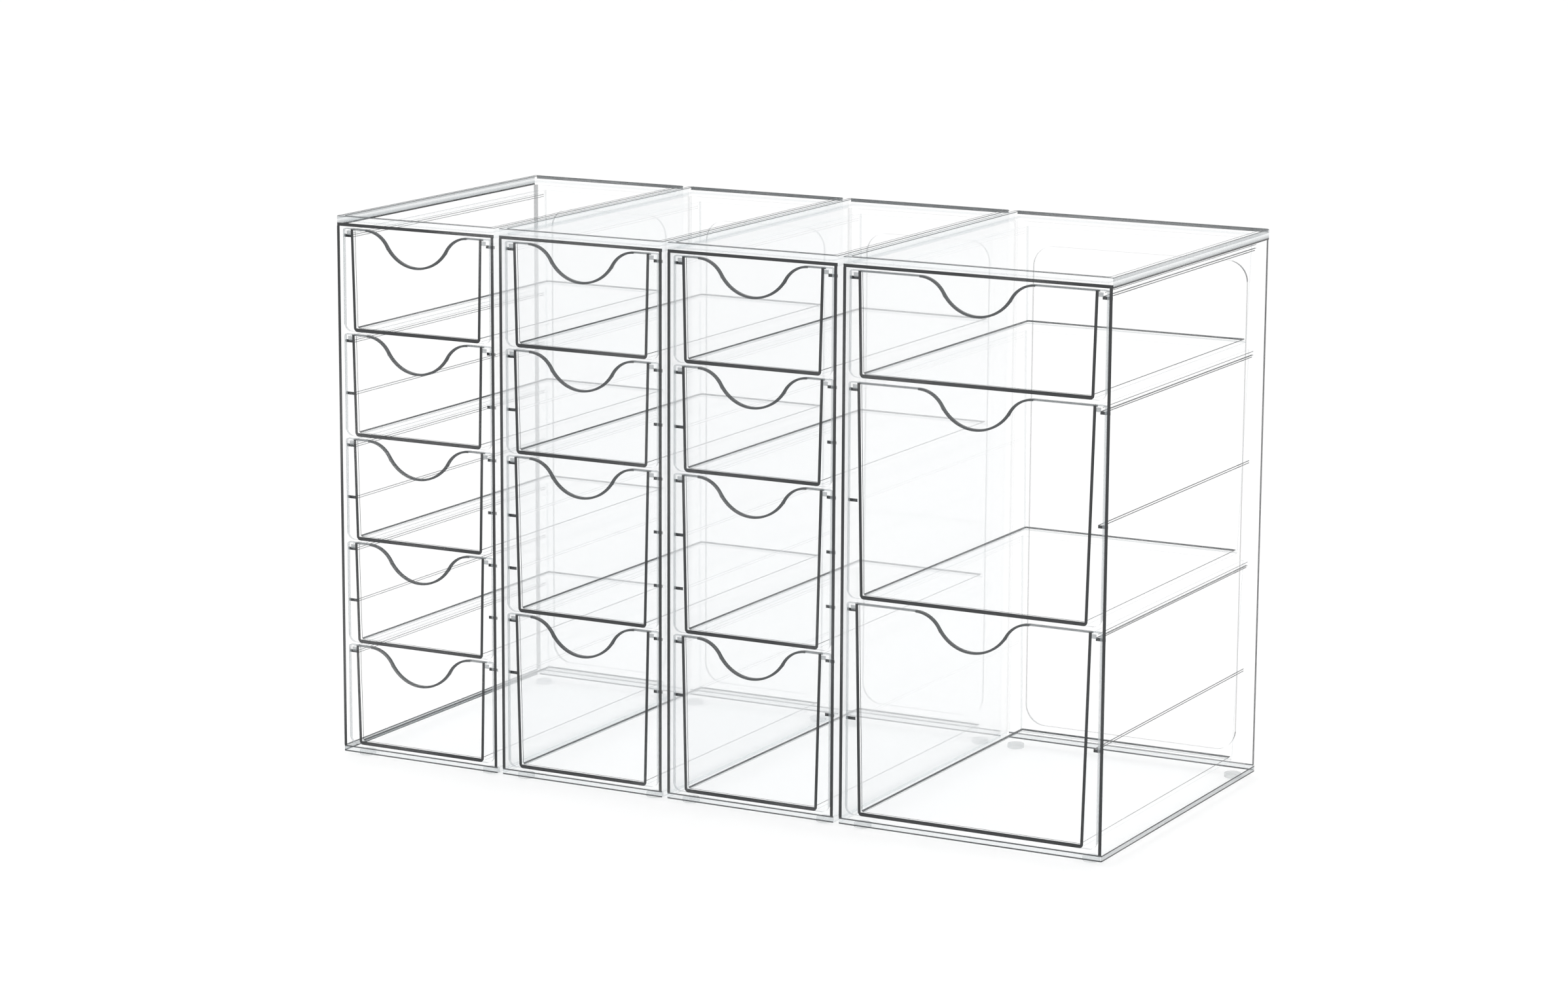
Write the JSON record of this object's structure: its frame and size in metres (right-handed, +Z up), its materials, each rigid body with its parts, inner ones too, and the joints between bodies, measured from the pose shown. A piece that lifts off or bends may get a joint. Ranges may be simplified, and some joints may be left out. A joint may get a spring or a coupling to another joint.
{
  "type": "stacking drawer tower set",
  "caption": "Clear plastic drawer towers standing side by side, with wave-notched drawer fronts, raised lips for stacking and windows in the backs.",
  "frame": {"origin": "centre of the set's footprint, on the surface it stands on", "axes": "+X to the right seen from the front, +Y to the back, +Z up; drawers open towards -Y"},
  "size_m": [0.4982, 0.225, 0.3275],
  "materials": {
    "clear_plastic": "clear moulded plastic, polished",
    "foot_clear": "soft translucent pad"
  },
  "bodies": {
    "towers": {"tower_1_shell": "clear_plastic", "tower_1_top_cover": "clear_plastic", "tower_1_base": "clear_plastic", "tower_1_feet": "foot_clear", "tower_2_shell": "clear_plastic", "tower_2_top_cover": "clear_plastic", "tower_2_base": "clear_plastic", "tower_2_feet": "foot_clear", "tower_3_shell": "clear_plastic", "tower_3_top_cover": "clear_plastic", "tower_3_base": "clear_plastic", "tower_3_feet": "foot_clear", "tower_4_shell": "clear_plastic", "tower_4_top_cover": "clear_plastic", "tower_4_base": "clear_plastic", "tower_4_feet": "foot_clear"},
    "tower_1_drawer_1": {"tower_1_drawer_1": "clear_plastic"},
    "tower_1_drawer_2": {"tower_1_drawer_2": "clear_plastic"},
    "tower_1_drawer_3": {"tower_1_drawer_3": "clear_plastic"},
    "tower_1_drawer_4": {"tower_1_drawer_4": "clear_plastic"},
    "tower_1_drawer_5": {"tower_1_drawer_5": "clear_plastic"},
    "tower_2_drawer_1": {"tower_2_drawer_1": "clear_plastic"},
    "tower_2_drawer_2": {"tower_2_drawer_2": "clear_plastic"},
    "tower_2_drawer_3": {"tower_2_drawer_3": "clear_plastic"},
    "tower_2_drawer_4": {"tower_2_drawer_4": "clear_plastic"},
    "tower_3_drawer_1": {"tower_3_drawer_1": "clear_plastic"},
    "tower_3_drawer_2": {"tower_3_drawer_2": "clear_plastic"},
    "tower_3_drawer_3": {"tower_3_drawer_3": "clear_plastic"},
    "tower_3_drawer_4": {"tower_3_drawer_4": "clear_plastic"},
    "tower_4_drawer_1": {"tower_4_drawer_1": "clear_plastic"},
    "tower_4_drawer_2": {"tower_4_drawer_2": "clear_plastic"},
    "tower_4_drawer_3": {"tower_4_drawer_3": "clear_plastic"}
  },
  "joints": [
    {"name": "tower_1_drawer_1_slide", "type": "slide", "parent": "towers", "child": "tower_1_drawer_1", "axis": [0, -1, 0], "range_m": [0, 0.15]},
    {"name": "tower_1_drawer_2_slide", "type": "slide", "parent": "towers", "child": "tower_1_drawer_2", "axis": [0, -1, 0], "range_m": [0, 0.15]},
    {"name": "tower_1_drawer_3_slide", "type": "slide", "parent": "towers", "child": "tower_1_drawer_3", "axis": [0, -1, 0], "range_m": [0, 0.15]},
    {"name": "tower_1_drawer_4_slide", "type": "slide", "parent": "towers", "child": "tower_1_drawer_4", "axis": [0, -1, 0], "range_m": [0, 0.15]},
    {"name": "tower_1_drawer_5_slide", "type": "slide", "parent": "towers", "child": "tower_1_drawer_5", "axis": [0, -1, 0], "range_m": [0, 0.15]},
    {"name": "tower_2_drawer_1_slide", "type": "slide", "parent": "towers", "child": "tower_2_drawer_1", "axis": [0, -1, 0], "range_m": [0, 0.15]},
    {"name": "tower_2_drawer_2_slide", "type": "slide", "parent": "towers", "child": "tower_2_drawer_2", "axis": [0, -1, 0], "range_m": [0, 0.15]},
    {"name": "tower_2_drawer_3_slide", "type": "slide", "parent": "towers", "child": "tower_2_drawer_3", "axis": [0, -1, 0], "range_m": [0, 0.15]},
    {"name": "tower_2_drawer_4_slide", "type": "slide", "parent": "towers", "child": "tower_2_drawer_4", "axis": [0, -1, 0], "range_m": [0, 0.15]},
    {"name": "tower_3_drawer_1_slide", "type": "slide", "parent": "towers", "child": "tower_3_drawer_1", "axis": [0, -1, 0], "range_m": [0, 0.15]},
    {"name": "tower_3_drawer_2_slide", "type": "slide", "parent": "towers", "child": "tower_3_drawer_2", "axis": [0, -1, 0], "range_m": [0, 0.15]},
    {"name": "tower_3_drawer_3_slide", "type": "slide", "parent": "towers", "child": "tower_3_drawer_3", "axis": [0, -1, 0], "range_m": [0, 0.15]},
    {"name": "tower_3_drawer_4_slide", "type": "slide", "parent": "towers", "child": "tower_3_drawer_4", "axis": [0, -1, 0], "range_m": [0, 0.15]},
    {"name": "tower_4_drawer_1_slide", "type": "slide", "parent": "towers", "child": "tower_4_drawer_1", "axis": [0, -1, 0], "range_m": [0, 0.15]},
    {"name": "tower_4_drawer_2_slide", "type": "slide", "parent": "towers", "child": "tower_4_drawer_2", "axis": [0, -1, 0], "range_m": [0, 0.15]},
    {"name": "tower_4_drawer_3_slide", "type": "slide", "parent": "towers", "child": "tower_4_drawer_3", "axis": [0, -1, 0], "range_m": [0, 0.15]}
  ]
}
